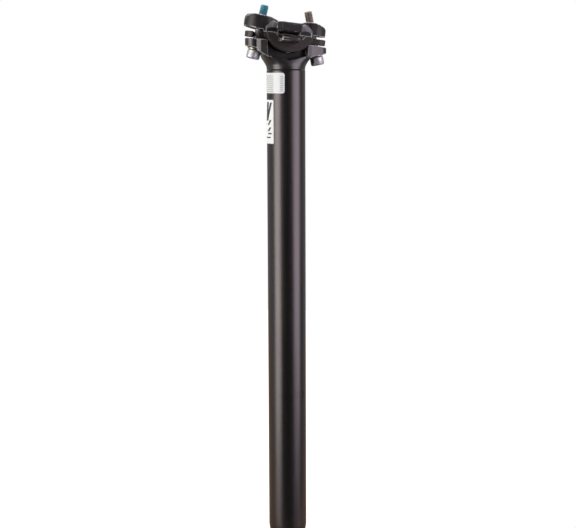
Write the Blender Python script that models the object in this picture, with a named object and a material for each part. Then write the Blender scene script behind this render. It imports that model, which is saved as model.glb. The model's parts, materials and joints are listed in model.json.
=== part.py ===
"""Rigid bicycle seatpost with a two-bolt micro-adjust saddle clamp.

Origin at the centre of the tube's foot, +Z up along the tube, +X towards the
front of the bicycle, +Y towards its left-hand side. Sizes below are in
millimetres, and every mesh is scaled to metres when it is finished.
"""
import math

import bmesh
import bpy
from mathutils import Matrix, Vector

MM = 0.001

# tube
TUBE_R = 13.6
TUBE_BORE_R = 11.1
SEAM_Z = 337.0
SEAM_GAP = 0.3
FOOT_R = 11.9
FOOT_BORE_R = 10.8
FOOT_TAPER = 8.5
ROUND = 64

# head
SPIGOT_R = 10.8
SPIGOT_DEPTH = 30.0
BLOCK_HALF_X = 17.0
BLOCK_HALF_Y = 11.0
CRADLE_R = 18.3
DECK = -10.85                # height of block and ear tops below the tilt centre
EAR_FALL = 0.03              # extra slope of the ear tops, leaves room to tilt
EAR_R = {"rear": 6.9, "front": 7.2}
EAR_SWEEP = {"rear": math.radians(90.0), "front": math.radians(69.0)}
EAR_FLANK = {"rear": [(20.6, 7.1), (11.0, 8.6)], "front": [(16.7, 9.75), (13.4, 10.8), (11.0, 10.8)]}
SHOULDER = ((22.0, 8.5), (19.7, 10.8))      # plan of the rear ear's wide root
SHOULDER_UNDER = 13.6
SHOULDER_SLOPE = 0.62
POCKET_FLOOR = 5.0

# clamp frame: centre of the rocker's arc, and how far the clamp leans forward
CENTRE = Vector((0.6, 0.0, SEAM_Z + 30.0))
LEAN = math.radians(7.0)
ROCKER_R = 18.0
ROCKER_HALF_Y = 15.0
WING_TOP = -6.2
WING_UNDER = -10.1
WING_R = 6.2
WING_REACH = 28.9
RAIL_Y = 22.0
RAIL_Z = -6.4
GROOVE_R = 3.6
JAW_HALF_Y = 26.5
BED_X = (-7.8, 4.8)
BED_UNDER = -11.4
LOWER_LIP = -8.3
BOWL_TOP_X = (-9.2, 10.6)    # dished sides of the lower clamp
BOWL_FLOOR_X = (-7.3, 7.4)
BOWL_FLOOR_Z = -9.7
BOWL_WALL_Y = 11.5
UPPER_LIP = -4.4

# upper clamp
UPPER_UNDER = -4.35
RIB_HALF_X = 16.5
RIB_HALF_Y = 6.0
RIB_UNDER = -5.85
LOBES = {-1: (20.8, 9.5), 1: (18.9, 9.3)}   # side: (distance from the centre, radius)
WAIST_HALF_Y = 7.2
ARM_X = (-8.5, 5.3)
ARM_TOP = 1.9
BOSS_X = 12.0
BOSS_UNDER = -5.65
# half width, middle and height of a boss's arch, at growing distance from the mid plane
BOSS_STEPS = ((0.0, 5.3, -2.4, 5.3), (7.6, 5.3, -2.4, 5.2), (8.9, 5.0, -2.6, 4.3),
              (10.0, 4.6, -3.2, 2.4), (10.6, 4.2, -3.7, 1.4))

# bolts: point under each head and the lean of each bolt towards the other
BOLT_R = 2.85
BOLT_LEN = 32.0
BOLT_HEAD_R = 4.7
BOLT_HEAD_H = 6.0
HEX_ACROSS = 5.0
PATCH_FROM = 23.6
BOLTS = {
    "rear": {"seat": Vector((-22.55, 0.0, SEAM_Z + 13.7)), "lean": math.radians(14.1), "ear": 1.6},
    "front": {"seat": Vector((22.0, 0.0, SEAM_Z + 9.1)), "lean": math.radians(-10.8), "ear": 0.8},
}
SLOT_R = 3.6
SLOT_SLACK = 1.1
NUT_R = 3.9
NUT_BORE_R = 4.05
NUT_HOLE_R = 3.2
NUT_Z = 0.1
WASHER_R = 5.0
WASHER_HOLE_R = 3.5
WASHER_BALL_R = 8.0
WASHER_RIM = 0.7


def circle(radius, count, centre=(0.0, 0.0), start=0.0):
    return [(centre[0] + radius * math.cos(start + 2 * math.pi * i / count),
             centre[1] + radius * math.sin(start + 2 * math.pi * i / count)) for i in range(count)]


def loft(rings, closed=False):
    """Skin a list of equal-length rings; caps both ends, or joins them when closed."""
    bm = bmesh.new()
    rows = [[bm.verts.new(p) for p in ring] for ring in rings]
    pairs = list(zip(rows[:-1], rows[1:]))
    if closed:
        pairs.append((rows[-1], rows[0]))
    for low, high in pairs:
        for i in range(len(low)):
            j = (i + 1) % len(low)
            bm.faces.new((low[i], low[j], high[j], high[i]))
    if not closed:
        bm.faces.new(list(reversed(rows[0])))
        bm.faces.new(rows[-1])
    bmesh.ops.recalc_face_normals(bm, faces=bm.faces)
    return bm


def turn(profile, count, closed=False, start=0.0):
    """Revolve (radius, height) pairs about Z."""
    rings = []
    for radius, height in profile:
        rings.append([(x, y, height) for x, y in circle(radius, count, start=start)])
    return loft(rings, closed)


def rod(radius, low, high, count=32, chamfer=0.0):
    if chamfer:
        return turn([(radius - chamfer, low), (radius, low + chamfer),
                     (radius, high - chamfer), (radius - chamfer, high)], count)
    return turn([(radius, low), (radius, high)], count)


def prism_y(outline, low, high, chamfer=0.0):
    """Extrude an (x, z) outline along Y, optionally with chamfered ends."""
    rings = []
    if chamfer:
        middle = Vector((sum(p[0] for p in outline), sum(p[1] for p in outline))) / len(outline)
        span = max((Vector(p) - middle).length for p in outline)
        shrink = 1.0 - chamfer / span
        small = [tuple(middle + (Vector(p) - middle) * shrink) for p in outline]
        steps = [(small, low), (outline, low + chamfer), (outline, high - chamfer), (small, high)]
    else:
        steps = [(outline, low), (outline, high)]
    for points, y in steps:
        rings.append([(x, y, z) for x, z in points])
    return loft(rings)


def prism_z(outline, bottom, top):
    """Extrude an (x, y) outline along Z between two height functions of x."""
    return loft([[(x, y, bottom(x)) for x, y in outline], [(x, y, top(x)) for x, y in outline]])


def prism_x(outline, low, high):
    """Extrude a (y, z) outline along X."""
    return loft([[(low, y, z) for y, z in outline], [(high, y, z) for y, z in outline]])


def box(x0, x1, y0, y1, z0, z1):
    return prism_z([(x0, y0), (x1, y0), (x1, y1), (x0, y1)], lambda x: z0, lambda x: z1)


def moved(bm, matrix):
    bm.transform(matrix)
    return bm


def axis_matrix(origin, lean):
    """Places Z-up geometry on an axis through origin that leans towards +X."""
    return Matrix.Translation(origin) @ Matrix.Rotation(lean, 4, "Y")


def combine(base, tools, operation):
    """EXACT boolean of one mesh with several others, done one after another."""
    mesh = bpy.data.meshes.new("work")
    base.to_mesh(mesh)
    base.free()
    work = bpy.data.objects.new("work", mesh)
    bpy.context.collection.objects.link(work)
    for tool in tools:
        tool_mesh = bpy.data.meshes.new("tool")
        tool.to_mesh(tool_mesh)
        tool.free()
        cutter = bpy.data.objects.new("tool", tool_mesh)
        bpy.context.collection.objects.link(cutter)
        step = work.modifiers.new("step", "BOOLEAN")
        step.operation = operation
        step.solver = "EXACT"
        step.object = cutter
        bpy.context.view_layer.update()
        graph = bpy.context.evaluated_depsgraph_get()
        result = bpy.data.meshes.new_from_object(work.evaluated_get(graph))
        work.modifiers.remove(step)
        work.data = result
        bpy.data.objects.remove(cutter, do_unlink=True)
    done = bmesh.new()
    done.from_mesh(work.data)
    bpy.data.objects.remove(work, do_unlink=True)
    bmesh.ops.remove_doubles(done, verts=done.verts, dist=0.002)
    bmesh.ops.dissolve_degenerate(done, dist=0.002, edges=done.edges)
    return done


def paint(name, colour, metallic, roughness):
    material = bpy.data.materials.new(name)
    material.use_nodes = True
    shader = material.node_tree.nodes["Principled BSDF"]
    shader.inputs["Base Color"].default_value = (*colour, 1.0)
    shader.inputs["Metallic"].default_value = metallic
    shader.inputs["Roughness"].default_value = roughness
    return material


def finish(name, bm, colour, metallic, roughness, place=None, origin=None):
    """Scale to metres, put the origin where the piece turns, shade and colour it."""
    if place is not None:
        bm.transform(place)
    origin = Vector(origin) if origin is not None else Vector((0.0, 0.0, 0.0))
    bm.transform(Matrix.Translation(-origin))
    bm.transform(Matrix.Scale(MM, 4))
    bmesh.ops.triangulate(bm, faces=[f for f in bm.faces if len(f.verts) > 4])
    bmesh.ops.recalc_face_normals(bm, faces=bm.faces)
    mesh = bpy.data.meshes.new(name)
    bm.to_mesh(mesh)
    bm.free()
    mesh.materials.append(paint(name, colour, metallic, roughness))
    piece = bpy.data.objects.new(name, mesh)
    piece.location = origin * MM
    bpy.context.collection.objects.link(piece)
    mesh.shade_smooth()
    mesh.set_sharp_from_angle(angle=math.radians(30))
    return piece


def tube():
    profile = [(FOOT_BORE_R, 0.0), (FOOT_R, 0.0), (12.35, 1.5), (13.05, 5.0), (13.45, 7.2),
               (TUBE_R, FOOT_TAPER), (TUBE_R, SEAM_Z / 2),
               (TUBE_R, SEAM_Z - SEAM_GAP / 2 - 0.3), (TUBE_R - 0.3, SEAM_Z - SEAM_GAP / 2),
               (TUBE_BORE_R, SEAM_Z - SEAM_GAP / 2), (TUBE_BORE_R, 3.0)]
    return finish("post_tube", turn(profile, ROUND, closed=True), (0.03, 0.028, 0.027), 0.7, 0.35)


def squarish(half_x, half_y, power, height, count=ROUND):
    points = []
    for i in range(count):
        angle = 2 * math.pi * i / count
        c, s = math.cos(angle), math.sin(angle)
        radius = (abs(c / half_x) ** power + abs(s / half_y) ** power) ** (-1.0 / power)
        points.append((radius * c, radius * s, height))
    return points


def deck_height(x, extra=0.0):
    """World height of the head's tilted top at a given x, and the ears' extra fall."""
    along = (x - CENTRE.x - DECK * math.sin(LEAN)) / math.cos(LEAN)
    drop = DECK - extra * max(0.0, abs(along) - BLOCK_HALF_X)
    return CENTRE.z - along * math.sin(LEAN) + drop * math.cos(LEAN)


def ear(side):
    """One bolt ear: a round nose that runs into the block, square to its bolt underneath."""
    bolt = BOLTS[side]
    sign = -1.0 if side == "rear" else 1.0
    up = Vector((math.sin(bolt["lean"]), 0.0, math.cos(bolt["lean"])))
    under = bolt["seat"] + up * bolt["ear"]
    nose_x = abs(under.x)
    radius = EAR_R[side]
    half = []
    for i in range(11):
        angle = EAR_SWEEP[side] * i / 10
        half.append((nose_x + radius * math.cos(angle), radius * math.sin(angle)))
    half += EAR_FLANK[side]
    outline = half + [(x, -y) for x, y in reversed(half) if y > 0]
    outline = [(sign * x, y) for x, y in outline]
    if sign < 0:
        outline.reverse()
    slope = math.tan(bolt["lean"])
    return prism_z(outline, lambda x: under.z - (x - under.x) * slope,
                   lambda x: deck_height(x, EAR_FALL))


def shoulder():
    """The rear ear's root: wider than the ear, sloping down to the block."""
    edge, corner = SHOULDER
    half = [edge, corner, (11.0, corner[1])]
    outline = [(-x, -y) for x, y in half] + [(-x, y) for x, y in reversed(half)]
    return prism_z(outline, lambda x: SEAM_Z + SHOULDER_UNDER - (x + edge[0]) * SHOULDER_SLOPE,
                   lambda x: deck_height(x, EAR_FALL))


def head():
    base = SEAM_Z + SEAM_GAP / 2
    rings = [squarish(r, r, 2.0, z) for r, z in
             ((SPIGOT_R - 1.0, base - SPIGOT_DEPTH), (SPIGOT_R, base - SPIGOT_DEPTH + 1.0),
              (SPIGOT_R, base), (TUBE_R - 0.3, base), (TUBE_R, base + 0.3))]
    for half_x, half_y, power, height in (
            (TUBE_R, TUBE_R, 2.0, 1.6), (13.9, 13.7, 2.0, 2.6), (14.4, 13.4, 2.0, 3.6),
            (15.4, 12.9, 2.3, 5.5), (16.5, 12.2, 3.0, 7.4), (17.0, 11.5, 4.2, 8.8),
            (BLOCK_HALF_X, BLOCK_HALF_Y, 7.0, 11.0), (BLOCK_HALF_X, BLOCK_HALF_Y, 9.0, 26.0)):
        rings.append(squarish(half_x, half_y, power, SEAM_Z + height))
    body = combine(loft(rings), [ear("rear"), ear("front"), shoulder()], "UNION")
    tilt = axis_matrix(CENTRE, LEAN)
    cuts = [moved(prism_y(circle(CRADLE_R, 96), -18.0, 18.0), tilt)]
    cuts.append(moved(box(-40, 40, -20, 20, DECK, 30.0), tilt))
    pocket = [(-15.3, 40.0), (-15.3, 10.1), (-0.5, 6.7), (13.4, 9.9), (13.4, 40.0)]
    pocket = [(x, z + SEAM_Z) for x, z in pocket]
    cuts.append(prism_y(pocket, POCKET_FLOOR, 20.0))
    cuts.append(prism_y(pocket, -20.0, -POCKET_FLOOR))
    for bolt in BOLTS.values():
        place = axis_matrix(bolt["seat"], bolt["lean"])
        cuts.append(moved(rod(WASHER_HOLE_R + 0.2, -2.0, 14.0), place))
        gap = 0.3
        ball = WASHER_BALL_R + gap
        low = WASHER_RIM + 0.3 - math.sqrt(WASHER_BALL_R ** 2 - WASHER_R ** 2)
        seat = []
        for i in range(7):
            radius = 3.0 + (WASHER_R + 0.35 - 3.0) * i / 6
            seat.append((radius, low + math.sqrt(ball ** 2 - radius ** 2)))
        profile = [(WASHER_R + 0.35, -3.0)] + list(reversed(seat))
        cuts.append(moved(turn(profile, 40), place))
    body = combine(body, cuts, "DIFFERENCE")
    return finish("head_forging", body, (0.055, 0.052, 0.053), 0.6, 0.4)


def rail_grooves(low, high):
    return [prism_x(circle(GROOVE_R, 40, centre=(side * RAIL_Y, RAIL_Z)), low, high)
            for side in (-1.0, 1.0)]


def capsule(reach, radius, count=12):
    """(x, y) outline of a bar with round ends."""
    points = []
    for i in range(count + 1):
        angle = -0.5 * math.pi + math.pi * i / count
        points.append((reach - radius + radius * math.cos(angle), radius * math.sin(angle)))
    return points + [(-x, -y) for x, y in points]


def bolt_axis_in_clamp(side):
    """Seat point and lean of a bolt, seen from the leaning clamp frame."""
    bolt = BOLTS[side]
    to_clamp = axis_matrix(CENTRE, LEAN).inverted()
    return to_clamp @ bolt["seat"], bolt["lean"] - LEAN


def nut_spot(side):
    """Centre of a barrel nut in the clamp frame: where its bolt's axis meets the nut's height."""
    seat, lean = bolt_axis_in_clamp(side)
    return Vector((seat.x + (NUT_Z - seat.z) * math.tan(lean), 0.0, NUT_Z))


def lower_clamp():
    half = math.acos(-WING_TOP / ROCKER_R)
    arc = [(ROCKER_R * math.sin(-half + 2 * half * i / 48), -ROCKER_R * math.cos(-half + 2 * half * i / 48))
           for i in range(49)]
    rocker = prism_y(arc, -ROCKER_HALF_Y, ROCKER_HALF_Y, chamfer=0.5)
    wings = prism_z(capsule(WING_REACH, WING_R), lambda x: WING_UNDER, lambda x: WING_TOP)
    adds = [wings]
    for side in (-1.0, 1.0):
        bed = [(side * 13.0, WING_TOP), (side * 13.0, BED_UNDER), (side * 25.2, BED_UNDER),
               (side * JAW_HALF_Y, BED_UNDER + 1.0), (side * JAW_HALF_Y, LOWER_LIP),
               (side * (RAIL_Y + 0.5), LOWER_LIP), (side * (RAIL_Y + 0.5), WING_TOP)]
        if side > 0:
            bed.reverse()
        adds.append(prism_x(bed, *BED_X))
    body = combine(rocker, adds, "UNION")
    cuts = rail_grooves(-30.0, 30.0)
    for side in (-1.0, 1.0):
        y0, y1 = sorted((side * (RAIL_Y - GROOVE_R), side * (RAIL_Y + GROOVE_R)))
        cuts.append(box(-30.0, 30.0, y0, y1, RAIL_Z, 0.0))
        bowl = [(BOWL_TOP_X[0], 0.0), (BOWL_TOP_X[0], WING_TOP), (BOWL_FLOOR_X[0], BOWL_FLOOR_Z),
                (BOWL_FLOOR_X[1], BOWL_FLOOR_Z), (BOWL_TOP_X[1], WING_TOP), (BOWL_TOP_X[1], 0.0)]
        y0, y1 = sorted((side * BOWL_WALL_Y, side * (RAIL_Y + 0.3)))
        cuts.append(prism_y(bowl, y0, y1))
    for name, open_side, outward in (("rear", -1.0, -1.0), ("front", 1.0, 1.0)):
        seat, lean = bolt_axis_in_clamp(name)
        slot = [(x + math.copysign(SLOT_SLACK, x), y) for x, y in circle(SLOT_R, 24, start=math.pi / 24)]
        cuts.append(moved(prism_z(slot, lambda v: 0.0, lambda v: 16.0), axis_matrix(seat, lean)))
        near, far = sorted((outward * 1.0, outward * 4.6))
        y0, y1 = sorted((0.0, open_side * 14.0))
        cuts.append(moved(box(near, far, y0, y1, 0.0, 16.0), axis_matrix(seat, lean)))
    body = combine(body, cuts, "DIFFERENCE")
    return finish("lower_clamp", body, (0.05, 0.042, 0.038), 0.4, 0.55,
                  place=axis_matrix(CENTRE, LEAN), origin=CENTRE)


def lobe_half_width(x):
    centre, radius = LOBES[1 if x > 0 else -1]
    x = abs(x)
    if x >= centre:
        return math.sqrt(max(radius ** 2 - (x - centre) ** 2, 0.0))
    t = min(max((x - 9.5) / 6.5, 0.0), 1.0)
    return WAIST_HALF_Y + (radius - WAIST_HALF_Y) * (3 * t * t - 2 * t ** 3)


def upper_clamp():
    side_view = [(-30.4, -2.9), (-30.1, 1.4), (-29.3, 4.0), (-27.5, 5.7), (-25.0, 6.1), (-18.5, 5.3),
                 (-13.5, 4.9), (-11.0, 4.1), (-8.0, 2.9), (0.0, 2.6), (8.5, 3.1), (10.5, 3.8), (13.5, 4.6), (18.5, 4.7),
                 (21.8, 3.7), (25.8, 2.1), (27.4, 0.9), (28.2, -1.2), (28.3, UPPER_UNDER),
                 (-20.5, UPPER_UNDER)]
    side_view.reverse()
    xs = []
    for side in (-1, 1):
        reach = LOBES[side][0] + LOBES[side][1] - 0.02
        xs += [side * reach * math.sin(0.5 * math.pi * i / 24) for i in range(1, 25)]
    xs = sorted(xs + [0.0])
    plan = [(x, -lobe_half_width(x) - 0.02) for x in xs] + [(x, lobe_half_width(x) + 0.02) for x in reversed(xs)]
    body = combine(prism_y(side_view, -14.0, 14.0),
                   [prism_z(plan, lambda x: -8.0, lambda x: 9.0)], "INTERSECT")
    arm = [(-JAW_HALF_Y, UPPER_UNDER), (JAW_HALF_Y, UPPER_UNDER), (JAW_HALF_Y, ARM_TOP - 1.2),
           (JAW_HALF_Y - 1.0, ARM_TOP), (10.0, ARM_TOP + 0.5), (-10.0, ARM_TOP + 0.5),
           (1.0 - JAW_HALF_Y, ARM_TOP), (-JAW_HALF_Y, ARM_TOP - 1.2)]
    adds = [prism_x(arm, *ARM_X)]
    adds.append(box(-RIB_HALF_X, RIB_HALF_X, -RIB_HALF_Y, RIB_HALF_Y, RIB_UNDER, UPPER_UNDER + 1.0))
    steps = [(-y, a, z, h) for y, a, z, h in reversed(BOSS_STEPS)] + list(BOSS_STEPS[1:])
    for x in (-BOSS_X, BOSS_X):
        rings = []
        for y, half_width, middle, height in steps:
            ring = [(x + half_width * math.cos(math.pi * i / 16), y, middle + height * math.sin(math.pi * i / 16))
                    for i in range(17)]
            rings.append(ring + [(x - half_width, y, BOSS_UNDER), (x + half_width, y, BOSS_UNDER)])
        adds.append(loft(rings))
    body = combine(body, adds, "UNION")
    cuts = rail_grooves(-30.0, 30.0)
    for side in (-1.0, 1.0):
        y0, y1 = sorted((side * RAIL_Y, side * 40.0))
        cuts.append(box(-30.0, 30.0, y0, y1, -8.0, UPPER_LIP))
    for name in BOLTS:
        bore = rod(NUT_BORE_R, -8.0, 14.0, count=40)
        turn_to = Matrix.Translation(nut_spot(name)) @ Matrix.Rotation(-0.5 * math.pi, 4, "X")
        cuts.append(moved(bore, turn_to))
        seat, lean = bolt_axis_in_clamp(name)
        cuts.append(moved(rod(3.75, 2.0, 45.0), axis_matrix(seat, lean)))
    body = combine(body, cuts, "DIFFERENCE")
    return finish("upper_clamp", body, (0.045, 0.043, 0.045), 0.5, 0.4,
                  place=axis_matrix(CENTRE, LEAN), origin=CENTRE)


def bolt(side):
    data = BOLTS[side]
    r, h = BOLT_HEAD_R, BOLT_HEAD_H
    outer = [(r - 0.5, -h), (r, -h + 0.5), (r, -0.35), (r - 0.35, 0.0), (BOLT_R, 0.0),
             (BOLT_R, BOLT_LEN - 0.8), (BOLT_R - 0.8, BOLT_LEN)]
    body = turn(outer, 32)
    hexagon = HEX_ACROSS / 2 / math.cos(math.pi / 6)
    socket = turn([(hexagon, -h - 1.0), (hexagon, -h + 3.2)], 6)
    body = combine(body, [socket], "DIFFERENCE")
    return finish(side + "_bolt", body, (0.75, 0.75, 0.76), 1.0, 0.25,
                  place=axis_matrix(data["seat"], data["lean"]), origin=data["seat"])


def washer(side):
    data = BOLTS[side]
    bottom = 0.3
    rim = bottom + WASHER_RIM
    low = rim - math.sqrt(WASHER_BALL_R ** 2 - WASHER_R ** 2)
    dome = []
    for i in range(7):
        radius = WASHER_R + (WASHER_HOLE_R - WASHER_R) * i / 6
        dome.append((radius, low + math.sqrt(WASHER_BALL_R ** 2 - radius ** 2)))
    profile = [(WASHER_HOLE_R, bottom), (WASHER_R, bottom)] + dome
    pivot = axis_matrix(data["seat"], data["lean"]) @ Vector((0.0, 0.0, low))
    return finish(side + "_ball_washer", turn(profile, 40, closed=True), (0.62, 0.52, 0.30), 1.0, 0.3,
                  place=axis_matrix(data["seat"], data["lean"]), origin=pivot)


def barrel_nut(side):
    spot = nut_spot(side)
    body = rod(NUT_R, -7.7, 8.3, count=40, chamfer=0.4)
    moved(body, Matrix.Translation(spot) @ Matrix.Rotation(-0.5 * math.pi, 4, "X"))
    seat, lean = bolt_axis_in_clamp(side)
    body = combine(body, [moved(rod(NUT_HOLE_R, 2.0, 45.0), axis_matrix(seat, lean))], "DIFFERENCE")
    tilt = axis_matrix(CENTRE, LEAN)
    return finish(side + "_barrel_nut", body, (0.7, 0.7, 0.7), 1.0, 0.3, place=tilt, origin=tilt @ spot)


def thread_patch():
    data = BOLTS["rear"]
    inner, outer = BOLT_R + 0.05, BOLT_R + 0.17
    top = BOLT_LEN - 0.85
    profile = [(inner, PATCH_FROM), (outer, PATCH_FROM), (outer, top), (inner, top)]
    return finish("rear_thread_patch", turn(profile, 32, closed=True), (0.03, 0.30, 0.40), 0.0, 0.5,
                  place=axis_matrix(data["seat"], data["lean"]), origin=data["seat"])


def sticker(name, steps, low, high, colour):
    """A thin sheet wrapped round the rear of the tube, in step with the tube's own facets."""
    inner, outer = TUBE_R + 0.06, TUBE_R + 0.2
    first = ROUND // 2 - steps // 2
    rings = []
    for i in range(first, first + steps + 1):
        angle = 2 * math.pi * i / ROUND
        c, s = math.cos(angle), math.sin(angle)
        rings.append([(inner * c, inner * s, low), (outer * c, outer * s, low),
                      (outer * c, outer * s, high), (inner * c, inner * s, high)])
    return finish(name, loft(rings), colour, 0.0, 0.5)


for item in list(bpy.data.objects):
    bpy.data.objects.remove(item, do_unlink=True)

tube()
head()
lower_clamp()
upper_clamp()
for which in ("rear", "front"):
    bolt(which)
    washer(which)
    barrel_nut(which)
thread_patch()
sticker("spec_label", 26, SEAM_Z - 16.1, SEAM_Z - 1.9, (0.85, 0.85, 0.84))
sticker("plain_decal", 12, SEAM_Z - 51.2, SEAM_Z - 20.7, (0.85, 0.85, 0.85))
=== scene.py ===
"""Rigid bicycle seatpost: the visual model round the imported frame.

Shapes are drawn in millimetres on the frame's own axes (+Z up the tube, +X to the
bicycle's front) and scaled to metres by piece(). Where a moving piece sits comes
from the frame's joints; how big it is comes from the constants below.
"""
import json
import math

import bmesh
import bpy
from mathutils import Matrix, Vector


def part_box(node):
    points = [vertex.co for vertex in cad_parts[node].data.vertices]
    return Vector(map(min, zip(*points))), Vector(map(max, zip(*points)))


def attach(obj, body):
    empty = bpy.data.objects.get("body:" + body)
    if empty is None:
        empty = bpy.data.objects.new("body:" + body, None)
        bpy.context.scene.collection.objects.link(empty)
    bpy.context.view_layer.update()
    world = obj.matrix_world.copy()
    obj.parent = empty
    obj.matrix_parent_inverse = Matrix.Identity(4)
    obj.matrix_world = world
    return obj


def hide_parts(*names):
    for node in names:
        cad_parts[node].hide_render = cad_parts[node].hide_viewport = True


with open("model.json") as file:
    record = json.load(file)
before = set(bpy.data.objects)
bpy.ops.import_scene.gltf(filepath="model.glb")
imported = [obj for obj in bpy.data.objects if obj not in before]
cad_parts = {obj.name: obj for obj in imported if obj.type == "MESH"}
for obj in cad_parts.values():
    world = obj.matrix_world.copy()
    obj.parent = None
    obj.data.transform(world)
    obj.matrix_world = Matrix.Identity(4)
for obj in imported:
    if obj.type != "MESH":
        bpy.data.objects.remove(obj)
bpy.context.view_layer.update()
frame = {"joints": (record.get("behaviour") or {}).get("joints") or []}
JOINTS = {joint["name"]: joint for joint in frame["joints"]}

MM = 0.001


def spot(joint):
    """A joint's place in millimetres."""
    return Vector(JOINTS[joint]["pos_m"]) / MM


def lean_of(joint):
    """How far a joint's axis leans towards +X, in radians."""
    axis = JOINTS[joint]["axis"]
    return math.atan2(axis[0], axis[2])


# tube
TUBE_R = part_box("post_tube")[1].x / MM
SEAM_GAP = 0.3
SEAM_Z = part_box("post_tube")[1].z / MM + SEAM_GAP / 2
TUBE_BORE_R = 11.1
FOOT_R = 11.9
FOOT_BORE_R = 10.8
FOOT_TAPER = 8.5
TICK_LOW = 103.0
TICK_HEIGHT = 5.0

# head
SPIGOT_R = 10.8
COLLAR_R = 13.36
SPIGOT_DEPTH = 30.0
BLOCK_HALF_X = 17.0
BLOCK_HALF_Y = 11.0
CRADLE_R = 18.3
CROWN_R = 18.12
CROWN_HALF_Y = 4.0
DECK = -10.85
EAR_FALL = 0.03
EAR_R = {"rear": 6.9, "front": 7.2}
EAR_SWEEP = {"rear": math.radians(90.0), "front": math.radians(69.0)}
EAR_FLANK = {"rear": [(20.6, 7.1), (11.0, 8.6)], "front": [(16.7, 10.3), (13.4, 10.8), (11.0, 10.8)]}
# plan of the rear ear's wide root, turned a little more towards the rear than the CAD's
SHOULDER = ((22.0, 7.4), (19.7, 9.0), (14.6, 10.75))
SHOULDER_UNDER = 13.6
SHOULDER_SLOPE = 0.62
POCKET_FLOOR = 5.0

# clamp, in its own leaning frame with the tilt centre as origin
CENTRE = spot("clamp_tilt")
LEAN = lean_of("jaw_lift")
ROCKER_R = 18.0
ROCKER_HALF_Y = 15.0
WING_TOP = -6.2
WING_UNDER = -10.1
WING_R = 6.2
WING_REACH = 28.9
RAIL_Y = 22.0
RAIL_Z = -6.4
GROOVE_R = 3.6
JAW_HALF_Y = 26.5
BED_X = (-7.8, 4.8)
BED_UNDER = -11.4
LOWER_LIP = -8.3
BOWL_TOP_X = (-9.2, 10.6)
BOWL_FLOOR_X = (-7.3, 7.4)
BOWL_FLOOR_Z = -9.7
BOWL_WALL_Y = 11.5
SLOT_R = 3.6
SLOT_SLACK = 1.1
UPPER_LIP = -4.4
UPPER_UNDER = -4.35
RIB_HALF_X = 16.5
RIB_HALF_Y = 6.0
RIB_UNDER = -5.85
LOBES = {-1: (20.8, 9.5), 1: (18.9, 9.3)}   # side: (distance from the centre, radius)
WAIST_HALF_Y = 7.2
ARM_X = (-8.5, 5.3)
ARM_TOP = 1.9
BOSS_X = 12.0
BOSS_UNDER = -5.65
# half width, middle and height of a boss's arch, at growing distance from the mid plane
BOSS_STEPS = ((0.0, 5.3, -2.4, 5.3), (7.6, 5.3, -2.4, 5.2), (8.9, 5.0, -2.6, 4.3),
              (10.0, 4.6, -3.2, 2.4), (10.6, 4.2, -3.7, 1.4))

# bolts and what goes on them
BOLT_R = 2.85
BOLT_ROOT_R = 2.4
PITCH = 1.0
BOLT_LEN = 32.0
THREAD_FROM = 8.0
BOLT_HEAD_R = 4.7
BOLT_HEAD_H = 6.0
HEX_ACROSS = 5.0
PATCH_FROM = 23.6
OILED_FROM = CENTRE.z
EAR_RISE = {"rear": 1.6, "front": 0.8}
NUT_R = 3.9
NUT_BORE_R = 4.05
NUT_HOLE_R = 3.2
WASHER_R = 5.0
WASHER_HOLE_R = 3.5
WASHER_BALL_R = 8.0
WASHER_RIM = 0.7

# light grey edges, partly rubbing and partly painted glints: curvature where they start and are full, and
# where the arms' calmer ones start
WEAR_AND_GLINT = (0.508, 0.532)
ARM_CALM_Y = 12.0

# voxel size and smoothing passes of the forged pieces
HEAD_FORGING = (0.3, 5)
CLAMP_FORGING = (0.28, 4)

# camera
CAM_AZ = math.radians(-13.0)
CAM_DIST = 0.980
CAM_DOWN = math.radians(8.0)
CAM_ROLL = math.radians(-0.24)
CAM_SHIFT = 0.0022
LENS = 86.3

# studio
FRONT_GLOW = 0.006
BACK_GLOW = 0.42
FLOOR_GLOW = 1.0
FLOOR_R = 0.5
FLOOR_BACK = 0.47
PANELS = {
    "left": ((-0.98, -0.38, 0.40), (0.75, 1.34), 16.2, (1.0, 1.0, 1.0)),
    "right": ((0.77, -0.64, 0.43), (0.8, 1.29), 12.8, (0.94, 0.87, 1.0)),
    "top": ((0.0, 0.45, 1.15), (1.2, 0.8), 14.0, (1.0, 1.0, 1.0)),
}


# ---------------------------------------------------------------- mesh helpers

def circle(radius, count, centre=(0.0, 0.0), start=0.0):
    return [(centre[0] + radius * math.cos(start + 2 * math.pi * i / count),
             centre[1] + radius * math.sin(start + 2 * math.pi * i / count)) for i in range(count)]


def loft(rings, closed=False):
    """Skin a list of equal-length rings; caps both ends, or joins them when closed."""
    bm = bmesh.new()
    rows = [[bm.verts.new(p) for p in ring] for ring in rings]
    pairs = list(zip(rows[:-1], rows[1:]))
    if closed:
        pairs.append((rows[-1], rows[0]))
    for low, high in pairs:
        for i in range(len(low)):
            j = (i + 1) % len(low)
            bm.faces.new((low[i], low[j], high[j], high[i]))
    if not closed:
        bm.faces.new(list(reversed(rows[0])))
        bm.faces.new(rows[-1])
    bmesh.ops.recalc_face_normals(bm, faces=bm.faces)
    return bm


def turn(profile, count, closed=False):
    """Revolve (radius, height) pairs about Z."""
    return loft([[(x, y, height) for x, y in circle(radius, count)] for radius, height in profile], closed)


def rod(radius, low, high, count=48):
    return turn([(radius, low), (radius, high)], count)


def prism_x(outline, low, high):
    return loft([[(low, y, z) for y, z in outline], [(high, y, z) for y, z in outline]])


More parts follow.
